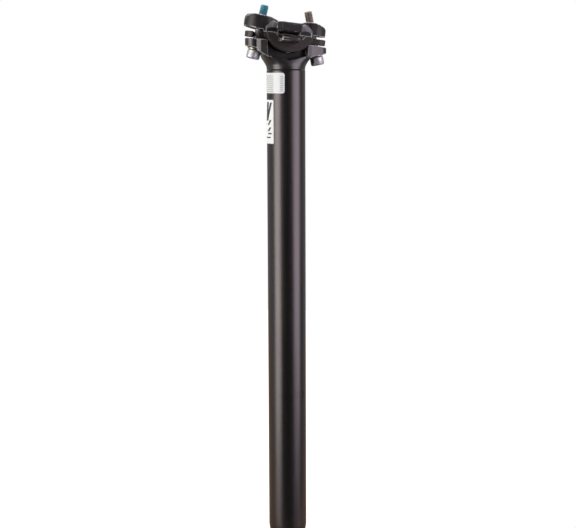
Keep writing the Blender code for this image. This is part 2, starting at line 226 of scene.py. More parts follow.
def prism_y(outline, low, high, chamfer=0.0):
    """Extrude an (x, z) outline along Y, optionally with chamfered ends."""
    steps = [(outline, low), (outline, high)]
    if chamfer:
        middle = Vector((sum(p[0] for p in outline), sum(p[1] for p in outline))) / len(outline)
        shrink = 1.0 - chamfer / max((Vector(p) - middle).length for p in outline)
        small = [tuple(middle + (Vector(p) - middle) * shrink) for p in outline]
        steps = [(small, low), (outline, low + chamfer), (outline, high - chamfer), (small, high)]
    return loft([[(x, y, z) for x, z in points] for points, y in steps])


def prism_z(outline, bottom, top):
    """Extrude an (x, y) outline along Z between two height functions of x."""
    return loft([[(x, y, bottom(x)) for x, y in outline], [(x, y, top(x)) for x, y in outline]])


def box(x0, x1, y0, y1, z0, z1):
    return prism_z([(x0, y0), (x1, y0), (x1, y1), (x0, y1)], lambda x: z0, lambda x: z1)


def moved(bm, matrix):
    bm.transform(matrix)
    return bm


def axis_matrix(origin, lean):
    """Places Z-up geometry on an axis through origin that leans towards +X."""
    return Matrix.Translation(origin) @ Matrix.Rotation(lean, 4, "Y")


def evaluated(bm, add_modifiers):
    """The mesh after the modifiers that add_modifiers puts on it."""
    mesh = bpy.data.meshes.new("work")
    bm.to_mesh(mesh)
    bm.free()
    work = bpy.data.objects.new("work", mesh)
    bpy.context.collection.objects.link(work)
    extra = add_modifiers(work) or []
    bpy.context.view_layer.update()
    graph = bpy.context.evaluated_depsgraph_get()
    done = bmesh.new()
    done.from_mesh(bpy.data.meshes.new_from_object(work.evaluated_get(graph)))
    for item in [work] + extra:
        bpy.data.objects.remove(item, do_unlink=True)
    return done


def combine(base, tools, operation):
    """EXACT boolean of one mesh with several others, done one after another."""
    for tool in tools:
        def add(work, tool=tool):
            mesh = bpy.data.meshes.new("tool")
            tool.to_mesh(mesh)
            tool.free()
            cutter = bpy.data.objects.new("tool", mesh)
            bpy.context.collection.objects.link(cutter)
            step = work.modifiers.new("step", "BOOLEAN")
            step.operation = operation
            step.solver = "EXACT"
            step.object = cutter
            return [cutter]
        base = evaluated(base, add)
    return base


def forged(bm, voxel, passes):
    """Even mesh with softened edges, as a forging has them."""
    def add(work):
        remesh = work.modifiers.new("remesh", "REMESH")
        remesh.mode = "VOXEL"
        remesh.voxel_size = voxel
        remesh.adaptivity = 0.0
        soften = work.modifiers.new("soften", "SMOOTH")
        soften.factor = 0.5
        soften.iterations = passes
    return evaluated(bm, add)


def piece(name, bm, node, body, material, sharp=35.0, crease=True):
    """Scale to metres, shade, ride on the body and stand in for the CAD node."""
    bm.transform(Matrix.Scale(MM, 4))
    mesh = bpy.data.meshes.new(name)
    bm.to_mesh(mesh)
    bm.free()
    mesh.materials.append(material)
    mesh.shade_smooth()
    if crease:
        mesh.set_sharp_from_angle(angle=math.radians(sharp))
    obj = bpy.data.objects.new(name, mesh)
    bpy.context.collection.objects.link(obj)
    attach(obj, body)
    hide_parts(node)
    return obj


# ------------------------------------------------------------------- materials

class Look:
    """A Principled material with short calls for the nodes this script uses."""

    def __init__(self, name, colour, metallic, roughness, **sockets):
        self.material = bpy.data.materials.new(name)
        self.material.use_nodes = True
        self.tree = self.material.node_tree
        self.shader = self.tree.nodes["Principled BSDF"]
        self.shader.inputs["Base Color"].default_value = (*colour, 1.0)
        self.shader.inputs["Metallic"].default_value = metallic
        self.shader.inputs["Roughness"].default_value = roughness
        for socket, value in sockets.items():
            self.shader.inputs[socket.replace("_", " ")].default_value = value

    def add(self, kind, **settings):
        node = self.tree.nodes.new(kind)
        for key, value in settings.items():
            setattr(node, key, value)
        return node

    def link(self, a, b):
        self.tree.links.new(a, b)

    def math(self, operation, *values):
        node = self.add("ShaderNodeMath", operation=operation)
        for socket, value in zip(node.inputs, values):
            if isinstance(value, float):
                socket.default_value = value
            else:
                self.link(value, socket)
        return node.outputs[0]

    def place(self):
        return self.add("ShaderNodeTexCoord").outputs["Object"]

    def noise(self, scale, detail=3.0, stretch=(1.0, 1.0, 1.0), rough=0.5):
        """Noise in object space; scale is in features per metre."""
        mapping = self.add("ShaderNodeMapping")
        mapping.inputs["Scale"].default_value = stretch
        self.link(self.place(), mapping.inputs["Vector"])
        node = self.add("ShaderNodeTexNoise")
        node.inputs["Scale"].default_value = scale
        node.inputs["Detail"].default_value = detail
        node.inputs["Roughness"].default_value = rough
        self.link(mapping.outputs["Vector"], node.inputs["Vector"])
        return node.outputs["Fac"]

    def ramp(self, value, *stops):
        """Colour ramp; each stop is (position, colour or grey)."""
        node = self.add("ShaderNodeValToRGB")
        elements = node.color_ramp.elements
        while len(elements) < len(stops):
            elements.new(0.5)
        for element, (position, colour) in zip(elements, stops):
            element.position = position
            if isinstance(colour, (int, float)):
                colour = (colour, colour, colour)
            element.color = (*colour, 1.0)
        self.link(value, node.inputs["Fac"])
        return node.outputs["Color"]

    def mix(self, factor, a, b):
        """Mix two colours; a and b are sockets or plain colours."""
        node = self.add("ShaderNodeMix", data_type="RGBA")
        self.link(factor, node.inputs["Factor"])
        for socket, value in (("A", a), ("B", b)):
            target = [s for s in node.inputs if s.name == socket and s.type == "RGBA"][0]
            if isinstance(value, tuple):
                target.default_value = (*value, 1.0)
            else:
                self.link(value, target)
        return [s for s in node.outputs if s.type == "RGBA"][0]

    def bump(self, height, strength, distance):
        node = self.add("ShaderNodeBump")
        node.inputs["Strength"].default_value = strength
        node.inputs["Distance"].default_value = distance
        self.link(height, node.inputs["Height"])
        self.link(node.outputs["Normal"], self.shader.inputs["Normal"])

    def colour(self, socket):
        self.link(socket, self.shader.inputs["Base Color"])

    def roughness(self, socket):
        self.link(socket, self.shader.inputs["Roughness"])

    def edges(self, low, high):
        """0 on flat and hollow places, 1 on sharp outer edges."""
        geometry = self.add("ShaderNodeNewGeometry")
        return self.ramp(geometry.outputs["Pointiness"], (low, 0.0), (high, 1.0))


def black_finish(name, colour, worn_and_glint, roughness, grain, rub_and_glint_from=0.46, shine=0.8, zone=(),
                 calm=0.0, grit=0.00006, boss_highlight_colour=None):
    """Black anodised or painted alloy: fine speckle, broad mottling and light grey outer edges, partly from
    rubbing and partly painted glints.

    zone limits the light grey edges: (axis, low, high) in millimetres, counted both ways.
    calm makes them rarer on the parts that reach far out sideways, grit is the depth of
    the speckle in metres, and the last colour, if any, is a painted highlight on the bosses' upward-facing
    sloping ends.
    """
    look = Look(name, colour, 0.0, roughness, Specular_IOR_Level=shine,
                Specular_Tint=(1.0, 0.93, 0.92, 1.0))
    speckle = look.noise(grain, detail=2.0)
    blotch = look.noise(90.0, detail=4.0)
    dark = tuple(0.72 * c for c in colour)
    light = tuple(1.35 * c for c in colour)
    base = look.ramp(speckle, (0.35, dark), (0.68, light))
    # light grey outer edges: partly rubbing through the black, partly painted glints on the edges
    rub_and_glint = look.noise(260.0, detail=6.0, rough=0.75)
    split = look.add("ShaderNodeSeparateXYZ")
    look.link(look.place(), split.inputs["Vector"])
    far_out = look.math("GREATER_THAN", look.math("ABSOLUTE", split.outputs["Y"]), ARM_CALM_Y * MM)
    rub_and_glint = look.math("SUBTRACT", rub_and_glint, look.math("MULTIPLY", far_out, calm))
    patches = look.ramp(rub_and_glint, (rub_and_glint_from, 0.0), (rub_and_glint_from + 0.12, 1.0))
    gate = look.math("MULTIPLY", look.edges(*WEAR_AND_GLINT), patches)
    for axis, low, high in zone:
        at = look.math("ABSOLUTE", split.outputs[axis])
        gate = look.math("MULTIPLY", gate, look.math("GREATER_THAN", at, low * MM))
        gate = look.math("MULTIPLY", gate, look.math("LESS_THAN", at, high * MM))
    rubbed_and_glint_colour = look.mix(gate, base, worn_and_glint)
    # painted highlight: the bosses' upward-facing sloping ends are mixed towards a lighter grey
    if boss_highlight_colour:
        rubbed_and_glint_colour = look.mix(boss_painted_highlight(look), rubbed_and_glint_colour, boss_highlight_colour)
    look.colour(rubbed_and_glint_colour)
    look.roughness(look.ramp(blotch, (0.3, roughness - 0.06), (0.7, roughness + 0.07)))
    look.bump(speckle, 0.35, grit)
    return look.material


def boss_painted_highlight(look):
    """1 on the bosses' upward-facing sloping ends, which get a painted highlight."""
    split = look.add("ShaderNodeSeparateXYZ")
    look.link(look.place(), split.inputs["Vector"])
    normal = look.add("ShaderNodeSeparateXYZ")
    look.link(look.add("ShaderNodeNewGeometry").outputs["Normal"], normal.inputs["Vector"])
    along = look.math("ABSOLUTE", split.outputs["X"])
    out = look.math("ABSOLUTE", split.outputs["Y"])
    facing = look.math("ABSOLUTE", normal.outputs["Y"])
    cloud = look.ramp(look.noise(520.0, detail=5.0, rough=0.7), (0.34, 0.35), (0.60, 1.0))
    mask = cloud
    for value, low, high in ((along, 6.0 * MM, 17.5 * MM), (out, 7.6 * MM, 10.7 * MM),
                             (normal.outputs["Z"], 0.28, 0.9), (facing, 0.4, 1.0)):
        mask = look.math("MULTIPLY", mask, look.math("GREATER_THAN", value, low))
        mask = look.math("MULTIPLY", mask, look.math("LESS_THAN", value, high))
    return mask


def tube_finish():
    """Black anodising, drawn along the tube and finely speckled."""
    look = Look("tube_black", (0.004, 0.0035, 0.0034), 0.0, 0.32, Specular_IOR_Level=0.8,
                Specular_Tint=(1.0, 0.89, 0.87, 1.0))
    speckle = look.noise(1500.0, detail=2.0)
    drawn = look.noise(260.0, detail=3.0, stretch=(1.0, 1.0, 0.04))
    look.colour(look.ramp(speckle, (0.32, (0.002, 0.0017, 0.0016)), (0.70, (0.009, 0.0078, 0.0076))))
    look.roughness(look.ramp(drawn, (0.3, 0.29), (0.7, 0.36)))
    look.bump(speckle, 0.4, 0.00005)
    return look.material


def zinc(name, tint=(0.56, 0.55, 0.56), roughness=0.56):
    """Cloudy zinc plating, brown with oil above OILED_FROM."""
    look = Look(name, tint, 1.0, roughness)
    cloud = look.noise(420.0, detail=4.0)
    dull = tuple(0.70 * c for c in tint)
    clean = look.ramp(cloud, (0.3, dull), (0.62, tint))
    split = look.add("ShaderNodeSeparateXYZ")
    look.link(look.place(), split.inputs["Vector"])
    oiled = look.math("GREATER_THAN", split.outputs["Z"], OILED_FROM * MM)
    look.colour(look.mix(oiled, clean, (0.27, 0.235, 0.205)))
    look.roughness(look.ramp(cloud, (0.3, roughness + 0.14), (0.65, roughness - 0.04)))
    look.bump(look.noise(2600.0, detail=2.0), 0.15, 0.00002)
    return look.material


def brass():
    """Yellow passivated washers."""
    look = Look("yellow_passivate", (0.50, 0.43, 0.27), 1.0, 0.4)
    cloud = look.noise(500.0, detail=3.0)
    look.colour(look.ramp(cloud, (0.3, (0.34, 0.30, 0.20)), (0.65, (0.56, 0.50, 0.33))))
    look.roughness(look.ramp(cloud, (0.3, 0.5), (0.7, 0.32)))
    return look.material


def thread_lock():
    """Dry blue film with a grainy surface."""
    look = Look("thread_lock", (0.02, 0.20, 0.30), 0.0, 0.5)
    film = look.noise(900.0, detail=4.0)
    look.colour(look.ramp(film, (0.32, (0.02, 0.10, 0.15)), (0.66, (0.06, 0.29, 0.36))))
    look.roughness(look.ramp(film, (0.3, 0.62), (0.7, 0.38)))
    look.bump(film, 0.5, 0.0001)
    return look.material


def printed(name, paper, ink, bars):
    """Film with plain bars: (right edge, width, top, bottom, slant) in the sheet's 0-1 space."""
    look = Look(name, paper, 0.0, 0.38)
    uv = look.add("ShaderNodeUVMap", uv_map="sheet").outputs["UV"]
    split = look.add("ShaderNodeSeparateXYZ")
    look.link(uv, split.inputs["Vector"])

    total = None
    for right, width, top, bottom, slant in bars:
        across = look.math("ADD", split.outputs["X"],
                           look.math("MULTIPLY", look.math("SUBTRACT", top, split.outputs["Y"]), slant))
        inside = look.math("MULTIPLY", look.math("LESS_THAN", across, right),
                           look.math("GREATER_THAN", across, right - width))
        inside = look.math("MULTIPLY", inside, look.math("LESS_THAN", split.outputs["Y"], top))
        inside = look.math("MULTIPLY", inside, look.math("GREATER_THAN", split.outputs["Y"], bottom))
        total = inside if total is None else look.math("MAXIMUM", total, inside)
    fibre = look.noise(1800.0, detail=2.0)
    faded = tuple(0.93 * c for c in paper)
    look.colour(look.mix(total, look.ramp(fibre, (0.3, faded), (0.7, paper)), ink))
    look.bump(fibre, 0.15, 0.00003)
    return look.material


# ----------------------------------------------------------------------- tube

def tube():
    edge = SEAM_Z - SEAM_GAP / 2
    profile = [(FOOT_BORE_R, 0.25), (FOOT_BORE_R + 0.12, 0.05), (FOOT_BORE_R + 0.3, 0.0),
               (FOOT_R - 0.3, 0.0), (FOOT_R - 0.1, 0.05), (FOOT_R, 0.25)]
    for i in range(1, 11):
        t = i / 10
        profile.append((FOOT_R + (TUBE_R - FOOT_R) * math.sin(0.5 * math.pi * t) ** 0.85, FOOT_TAPER * t))
    profile += [(TUBE_R, 20.0), (TUBE_R, TICK_LOW - 2), (TUBE_R, TICK_LOW + TICK_HEIGHT + 2),
                (TUBE_R, 200.0), (TUBE_R, edge - 0.5)]
    for i in range(1, 7):
        a = 0.5 * math.pi * i / 6
        profile.append((TUBE_R - 0.4 * (1 - math.cos(a)), edge - 0.4 + 0.4 * math.sin(a)))
    profile += [(TUBE_BORE_R + 0.2, edge), (TUBE_BORE_R, edge - 0.2), (TUBE_BORE_R, 3.0)]
    body = turn(profile, 160, closed=True)
    ticks = []
    for i in range(13):
        tick = box(-0.22, 0.22, -TUBE_R - 1.0, -TUBE_R + 0.12, TICK_LOW, TICK_LOW + TICK_HEIGHT)
        ticks.append(moved(tick, Matrix.Rotation(math.radians(7.0 * (i - 6) + 4.0), 4, "Z")))
    body = combine(body, ticks, "DIFFERENCE")
    piece("tube_shell", body, "post_tube", "post", tube_finish(), sharp=40)


# ----------------------------------------------------------------------- head

def squarish(half_x, half_y, power, height, count=96):
    points = []
    for i in range(count):
        angle = 2 * math.pi * i / count
        c, s = math.cos(angle), math.sin(angle)
        radius = (abs(c / half_x) ** power + abs(s / half_y) ** power) ** (-1.0 / power)
        points.append((radius * c, radius * s, height))
    return points


def deck_height(x, extra=0.0):
    """World height of the head's tilted top at a given x, and the ears' extra fall."""
    along = (x - CENTRE.x - DECK * math.sin(LEAN)) / math.cos(LEAN)
    drop = DECK - extra * max(0.0, abs(along) - BLOCK_HALF_X)
    return CENTRE.z - along * math.sin(LEAN) + drop * math.cos(LEAN)


def bolt_seat(side):
    return spot(side + "_bolt_turn"), lean_of(side + "_bolt_turn")


def ear(side):
    """One bolt ear: a round nose that flares into the block, square to its bolt underneath."""
    seat, lean = bolt_seat(side)
    sign = -1.0 if side == "rear" else 1.0
    under = seat + EAR_RISE[side] * Vector((math.sin(lean), 0.0, math.cos(lean)))
    nose_x = abs(under.x)
    radius = EAR_R[side]
    half = []
    for i in range(17):
        angle = EAR_SWEEP[side] * i / 16
        half.append((nose_x + radius * math.cos(angle), radius * math.sin(angle)))
    half += EAR_FLANK[side]
    outline = half + [(x, -y) for x, y in reversed(half) if y > 0]
    outline = [(sign * x, y) for x, y in outline]
    if sign < 0:
        outline.reverse()
    slope = math.tan(lean)
    return prism_z(outline, lambda x: under.z - (x - under.x) * slope,
                   lambda x: deck_height(x, EAR_FALL))


def shoulder():
    """The rear ear's root: wider than the ear, sloping down to the block."""
    edge = SHOULDER[0]
    outline = [(-x, -y) for x, y in SHOULDER] + [(-x, y) for x, y in reversed(SHOULDER)]
    return prism_z(outline, lambda x: SEAM_Z + SHOULDER_UNDER - (x + edge[0]) * SHOULDER_SLOPE,
                   lambda x: deck_height(x, EAR_FALL))


def head():
    base = SEAM_Z + SEAM_GAP / 2
    rings = [squarish(r, r, 2.0, z) for r, z in
             ((SPIGOT_R - 1.0, base - SPIGOT_DEPTH), (SPIGOT_R, base - SPIGOT_DEPTH + 1.0),
              (SPIGOT_R, base), (TUBE_R - 0.3, base), (TUBE_R, base + 0.3))]
    for half_x, half_y, power, height in (
            (TUBE_R, TUBE_R, 2.0, 1.6), (13.9, 13.7, 2.0, 2.6), (14.4, 13.4, 2.0, 3.6),
            (15.4, 12.9, 2.3, 5.5), (16.5, 12.2, 3.0, 7.4), (17.0, 11.5, 4.2, 8.8),
            (BLOCK_HALF_X, BLOCK_HALF_Y, 7.0, 11.0), (BLOCK_HALF_X, BLOCK_HALF_Y, 9.0, 26.0)):
        rings.append(squarish(half_x, half_y, power, SEAM_Z + height))
    body = combine(loft(rings), [ear("rear"), ear("front"), shoulder()], "UNION")
    tilt = axis_matrix(CENTRE, LEAN)
    cuts = [moved(prism_y(circle(CRADLE_R, 96), CROWN_HALF_Y, 18.0), tilt),
            moved(prism_y(circle(CRADLE_R, 96), -18.0, -CROWN_HALF_Y), tilt),
            moved(prism_y(circle(CROWN_R, 96), -18.0, 18.0), tilt)]
    cuts.append(moved(box(-40, 40, -20, 20, DECK, 30.0), tilt))
    pocket = [(-15.3, 40.0), (-15.3, 10.1), (-0.5, 6.7), (13.4, 9.9), (13.4, 40.0)]
    pocket = [(x, z + SEAM_Z) for x, z in pocket]
    cuts.append(prism_y(pocket, POCKET_FLOOR, 20.0))
    cuts.append(prism_y(pocket, -20.0, -POCKET_FLOOR))
    for side in ("rear", "front"):
        place = axis_matrix(*bolt_seat(side))
        cuts.append(moved(rod(WASHER_HOLE_R + 0.2, -2.0, 14.0), place))
        ball = WASHER_BALL_R + 0.3
        low = WASHER_RIM + 0.3 - math.sqrt(WASHER_BALL_R ** 2 - WASHER_R ** 2)
        seat = []
        for i in range(9):
            radius = 3.0 + (WASHER_R + 0.35 - 3.0) * i / 8
            seat.append((radius, low + math.sqrt(ball ** 2 - radius ** 2)))
        cuts.append(moved(turn([(WASHER_R + 0.35, -3.0)] + list(reversed(seat)), 64), place))
    body = forged(combine(body, cuts, "DIFFERENCE"), *HEAD_FORGING)
    collar = turn([(SPIGOT_R - 0.6, base - SEAM_GAP + 0.04), (COLLAR_R, base - SEAM_GAP + 0.04),
                   (COLLAR_R, base + 1.0), (SPIGOT_R - 0.6, base + 1.0)], 160, closed=True)
    mesh = bpy.data.meshes.new("collar")
    collar.to_mesh(mesh)
    collar.free()
    body.from_mesh(mesh)
    # the second colour paints the ears' sharp edges light grey: partly rubbing, partly painted glints
    finish = black_finish("head_black", (0.009, 0.008, 0.0082), (0.30, 0.29, 0.30), 0.36, 1300.0,
                          rub_and_glint_from=0.36, zone=(("X", 12.5, 60.0), ("Z", SEAM_Z + 9.0, 400.0)))
    piece("head_body", body, "head_forging", "post", finish, crease=False)


# ---------------------------------------------------------------------- clamp

def rail_grooves(low, high):
    return [prism_x(circle(GROOVE_R, 64, centre=(side * RAIL_Y, RAIL_Z)), low, high)
            for side in (-1.0, 1.0)]


def capsule(reach, radius, count=24):
    """(x, y) outline of a bar with round ends."""
    points = []
    for i in range(count + 1):
        angle = -0.5 * math.pi + math.pi * i / count
        points.append((reach - radius + radius * math.cos(angle), radius * math.sin(angle)))
    return points + [(-x, -y) for x, y in points]


def in_clamp(side):
    """Seat point and lean of a bolt, seen from the leaning clamp frame."""
    seat, lean = bolt_seat(side)
    return axis_matrix(CENTRE, LEAN).inverted() @ seat, lean - LEAN


def nut_in_clamp(side):
    return axis_matrix(CENTRE, LEAN).inverted() @ spot(side + "_nut_swivel")


def lower_clamp():
    half = math.acos(-WING_TOP / ROCKER_R)
    arc = [(ROCKER_R * math.sin(-half + 2 * half * i / 72), -ROCKER_R * math.cos(-half + 2 * half * i / 72))
           for i in range(73)]
    rocker = prism_y(arc, -ROCKER_HALF_Y, ROCKER_HALF_Y, chamfer=0.5)
    adds = [prism_z(capsule(WING_REACH, WING_R), lambda x: WING_UNDER, lambda x: WING_TOP)]
    for side in (-1.0, 1.0):
        bed = [(side * 13.0, WING_TOP), (side * 13.0, BED_UNDER), (side * 25.2, BED_UNDER),
               (side * JAW_HALF_Y, BED_UNDER + 1.0), (side * JAW_HALF_Y, LOWER_LIP),
               (side * (RAIL_Y + 0.5), LOWER_LIP), (side * (RAIL_Y + 0.5), WING_TOP)]
        if side > 0:
            bed.reverse()
        adds.append(prism_x(bed, *BED_X))
    body = combine(rocker, adds, "UNION")
    cuts = rail_grooves(-30.0, 30.0)
    bowl = [(BOWL_TOP_X[0], 0.0), (BOWL_TOP_X[0], WING_TOP), (BOWL_FLOOR_X[0], BOWL_FLOOR_Z),
            (BOWL_FLOOR_X[1], BOWL_FLOOR_Z), (BOWL_TOP_X[1], WING_TOP), (BOWL_TOP_X[1], 0.0)]
    for side in (-1.0, 1.0):
        y0, y1 = sorted((side * (RAIL_Y - GROOVE_R), side * (RAIL_Y + GROOVE_R)))
        cuts.append(box(-30.0, 30.0, y0, y1, RAIL_Z, 0.0))
        y0, y1 = sorted((side * BOWL_WALL_Y, side * (RAIL_Y + 0.3)))
        cuts.append(prism_y(bowl, y0, y1))
    for name, open_side, outward in (("rear", -1.0, -1.0), ("front", 1.0, 1.0)):
        place = axis_matrix(*in_clamp(name))
        slot = [(x + math.copysign(SLOT_SLACK, x), y) for x, y in circle(SLOT_R, 48, start=math.pi / 48)]
        cuts.append(moved(prism_z(slot, lambda v: 0.0, lambda v: 16.0), place))
        near, far = sorted((outward * 1.0, outward * 4.6))
        y0, y1 = sorted((0.0, open_side * 14.0))
        cuts.append(moved(box(near, far, y0, y1, 0.0, 16.0), place))
    body = forged(combine(body, cuts, "DIFFERENCE"), *CLAMP_FORGING)
    moved(body, axis_matrix(CENTRE, LEAN))
    # the second colour paints sharp edges light grey: partly rubbing, partly painted glints
    finish = black_finish("lower_black", (0.016, 0.0115, 0.0095), (0.55, 0.52, 0.50), 0.5, 1100.0, shine=0.5,
                          zone=(("X", 2.4, 10.2), ("Z", SEAM_Z + 17.5, 400.0)))
    piece("lower_jaw", body, "lower_clamp", "lower_clamp", finish, crease=False)


def lobe_half_width(x):
    centre, radius = LOBES[1 if x > 0 else -1]
    x = abs(x)
    if x >= centre:
        return math.sqrt(max(radius ** 2 - (x - centre) ** 2, 0.0))
    t = min(max((x - 9.5) / 6.5, 0.0), 1.0)
    return WAIST_HALF_Y + (radius - WAIST_HALF_Y) * (3 * t * t - 2 * t ** 3)


def upper_clamp():
    side_view = [(-30.4, -2.9), (-30.1, 1.4), (-29.3, 4.0), (-27.5, 5.7), (-25.0, 6.1), (-18.5, 5.3),
                 (-13.5, 4.9), (-11.0, 4.1), (-8.0, 2.9), (0.0, 2.6), (8.5, 3.1), (10.5, 3.8),
                 (13.5, 4.6), (18.5, 4.7), (21.8, 3.7), (25.8, 2.1), (27.4, 0.9), (28.2, -1.2),
                 (28.3, UPPER_UNDER), (-20.5, UPPER_UNDER)]
    side_view.reverse()
    xs = []
    for side in (-1, 1):
        reach = LOBES[side][0] + LOBES[side][1] - 0.02
        xs += [side * reach * math.sin(0.5 * math.pi * i / 40) for i in range(1, 41)]
    xs = sorted(xs + [0.0])
    plan = [(x, -lobe_half_width(x) - 0.02) for x in xs]
    plan += [(x, lobe_half_width(x) + 0.02) for x in reversed(xs)]
    body = combine(prism_y(side_view, -14.0, 14.0),
                   [prism_z(plan, lambda x: -8.0, lambda x: 9.0)], "INTERSECT")
    adds = [box(-RIB_HALF_X, RIB_HALF_X, -RIB_HALF_Y, RIB_HALF_Y, RIB_UNDER, UPPER_UNDER + 1.0)]
    arm = [(-JAW_HALF_Y, UPPER_UNDER), (JAW_HALF_Y, UPPER_UNDER), (JAW_HALF_Y, ARM_TOP - 1.2),
           (JAW_HALF_Y - 1.0, ARM_TOP), (10.0, ARM_TOP + 0.5), (-10.0, ARM_TOP + 0.5),
           (1.0 - JAW_HALF_Y, ARM_TOP), (-JAW_HALF_Y, ARM_TOP - 1.2)]
    adds.append(prism_x(arm, *ARM_X))
    steps = [(-y, a, z, h) for y, a, z, h in reversed(BOSS_STEPS)] + list(BOSS_STEPS[1:])
    for x in (-BOSS_X, BOSS_X):
        rings = []
        for y, half_width, middle, height in steps:
            turns = [math.pi * i / 24 for i in range(25)]
            ring = [(x + half_width * math.cos(a), y, middle + height * math.sin(a)) for a in turns]
            rings.append(ring + [(x - half_width, y, BOSS_UNDER), (x + half_width, y, BOSS_UNDER)])
        adds.append(loft(rings))
    body = combine(body, adds, "UNION")
    cuts = rail_grooves(-30.0, 30.0)
    for side in (-1.0, 1.0):
        y0, y1 = sorted((side * RAIL_Y, side * 40.0))
        cuts.append(box(-30.0, 30.0, y0, y1, -8.0, UPPER_LIP))
    for name in ("rear", "front"):
        bore = rod(NUT_BORE_R, -8.0, 14.0, count=64)
        turn_to = Matrix.Translation(nut_in_clamp(name)) @ Matrix.Rotation(-0.5 * math.pi, 4, "X")
        cuts.append(moved(bore, turn_to))
        cuts.append(moved(rod(3.75, 2.0, 45.0), axis_matrix(*in_clamp(name))))
    body = forged(combine(body, cuts, "DIFFERENCE"), *CLAMP_FORGING)
    moved(body, axis_matrix(CENTRE, LEAN))
    # the second colour paints sharp edges light grey: partly rubbing, partly painted glints
    finish = black_finish("upper_black", (0.010, 0.009, 0.0088), (0.70, 0.68, 0.69), 0.46, 1200.0,
                          rub_and_glint_from=0.40, shine=0.42, calm=0.15, grit=0.00012,
                          # painted highlight colour for the bosses' upward-facing sloping ends
                          boss_highlight_colour=(0.22, 0.21, 0.22))
    piece("upper_jaw", body, "upper_clamp", "upper_clamp", finish, crease=False)


# ---------------------------------------------------------------------- bolts

def thread_radius(height, angle, root, crest):
    """Radius of an M6-style 60 degree thread at a height and turn."""
    phase = (height / PITCH - angle / (2 * math.pi)) % 1.0
    rise = 1.0 - abs(2.0 * phase - 1.0)
    rise = min(max((rise - 0.12) / 0.72, 0.0), 1.0)
    return root + (crest - root) * rise


def threaded(root, crest, low, high, count=40, per_turn=12, fade=1.0):
    """Rings of a threaded rod from low to high, fading out over the first turn."""
    rings = []
    steps = int((high - low) / PITCH * per_turn)
    for k in range(steps + 1):
        height = low + (high - low) * k / steps
        strength = min((height - low) / fade, 1.0)
        ring = []
        for i in range(count):
            angle = 2 * math.pi * i / count
            radius = thread_radius(height, angle, root, crest)
            radius = crest + (radius - crest) * strength
            end = max(0.0, height - (high - 0.8))
            radius = min(radius, crest - end)
            ring.append((radius * math.cos(angle), radius * math.sin(angle), height))
        rings.append(ring)
    return rings


def bolt(side):
    seat, lean = bolt_seat(side)
    r, h = BOLT_HEAD_R, BOLT_HEAD_H
    count = 40
    rings = []
    for radius, height in ((BOLT_R, 0.25), (BOLT_R, 0.9), (BOLT_R, THREAD_FROM - 0.05)):
        rings.append([(x, y, height) for x, y in circle(radius, count)])
    shank = loft(rings + threaded(BOLT_ROOT_R, BOLT_R, THREAD_FROM, BOLT_LEN, count))
    knurl = 72
    profile = [(r - 1.1, -h), (r - 0.65, -h + 0.1), (r - 0.3, -h + 0.38), (r - 0.08, -h + 0.75),
               (r, -h + 1.1), (r, -1.0), (r - 0.1, -0.55), (r - 0.35, -0.2), (r - 0.7, 0.0),
               (BOLT_R + 0.45, 0.0), (BOLT_R + 0.2, 0.12), (BOLT_R - 0.1, 0.4)]
    rings = []
    for radius, height in profile:
        ring = []
        for i in range(knurl * 2):
            angle = math.pi * i / knurl
            grip = 0.10 if i % 2 and -h + 1.0 < height < -0.9 else 0.0
            ring.append(((radius - grip) * math.cos(angle), (radius - grip) * math.sin(angle), height))
        rings.append(ring)
    cap = loft(rings)
    hexagon = HEX_ACROSS / 2 / math.cos(math.pi / 6)
    socket = turn([(hexagon + 0.5, -h - 0.5), (hexagon, -h + 0.35), (hexagon, -h + 3.2), (0.4, -h + 3.9)], 6)
    cap = combine(cap, [socket], "DIFFERENCE")
    body = combine(cap, [shank], "UNION")
    moved(body, axis_matrix(seat, lean))
    piece(side + "_cap_screw", body, side + "_bolt", side + "_bolt", zinc(side + "_zinc"), sharp=32)


def thread_patch():
    """Blue film that follows the thread's own shape, a little proud of it."""
    film = 0.07
    count = 40
    top = BOLT_LEN - 0.03
    outer = threaded(BOLT_ROOT_R + film, BOLT_R + film, PATCH_FROM, top, count, fade=0.01)
    inner = [[(x * 0.9, y * 0.9, z) for x, y, z in ring] for ring in (outer[0], outer[-1])]
    body = loft([inner[0]] + outer + [inner[1]], closed=True)
    moved(body, axis_matrix(*bolt_seat("rear")))
    piece("thread_film", body, "rear_thread_patch", "rear_bolt", thread_lock(), sharp=50)


def washer(side):
    bottom = 0.3
    rim = bottom + WASHER_RIM
    low = rim - math.sqrt(WASHER_BALL_R ** 2 - WASHER_R ** 2)
    dome = []
    for i in range(13):
        radius = WASHER_R + (WASHER_HOLE_R - WASHER_R) * i / 12
        dome.append((radius, low + math.sqrt(WASHER_BALL_R ** 2 - radius ** 2)))
    profile = [(WASHER_HOLE_R, bottom + 0.15), (WASHER_HOLE_R + 0.15, bottom), (WASHER_R - 0.12, bottom),
               (WASHER_R, bottom + 0.12)] + dome
    body = turn(profile, 96, closed=True)
    moved(body, axis_matrix(*bolt_seat(side)))
    piece(side + "_domed_washer", body, side + "_ball_washer", side + "_washer", brass(), sharp=40)


def barrel_nut(side):
    r = NUT_R
    profile = [(0.3, -7.7), (r - 0.45, -7.7), (r - 0.1, -7.5), (r, -7.15), (r, 7.75), (r - 0.1, 8.1),
               (r - 0.45, 8.3), (1.5, 8.3), (1.1, 7.7), (0.3, 7.6)]
    body = turn(profile, 96)
    moved(body, Matrix.Translation(nut_in_clamp(side)) @ Matrix.Rotation(-0.5 * math.pi, 4, "X"))
    hole = loft(threaded(NUT_HOLE_R - 0.1, NUT_HOLE_R + 0.3, -6.0, 6.0, fade=0.01))
    lean = in_clamp(side)[1]
    body = combine(body, [moved(hole, axis_matrix(nut_in_clamp(side), lean))], "DIFFERENCE")
    moved(body, axis_matrix(CENTRE, LEAN))
    finish = zinc(side + "_barrel_zinc", roughness=0.3)
    piece(side + "_barrel", body, side + "_barrel_nut", side + "_nut", finish)


# --------------------------------------------------------------------- labels

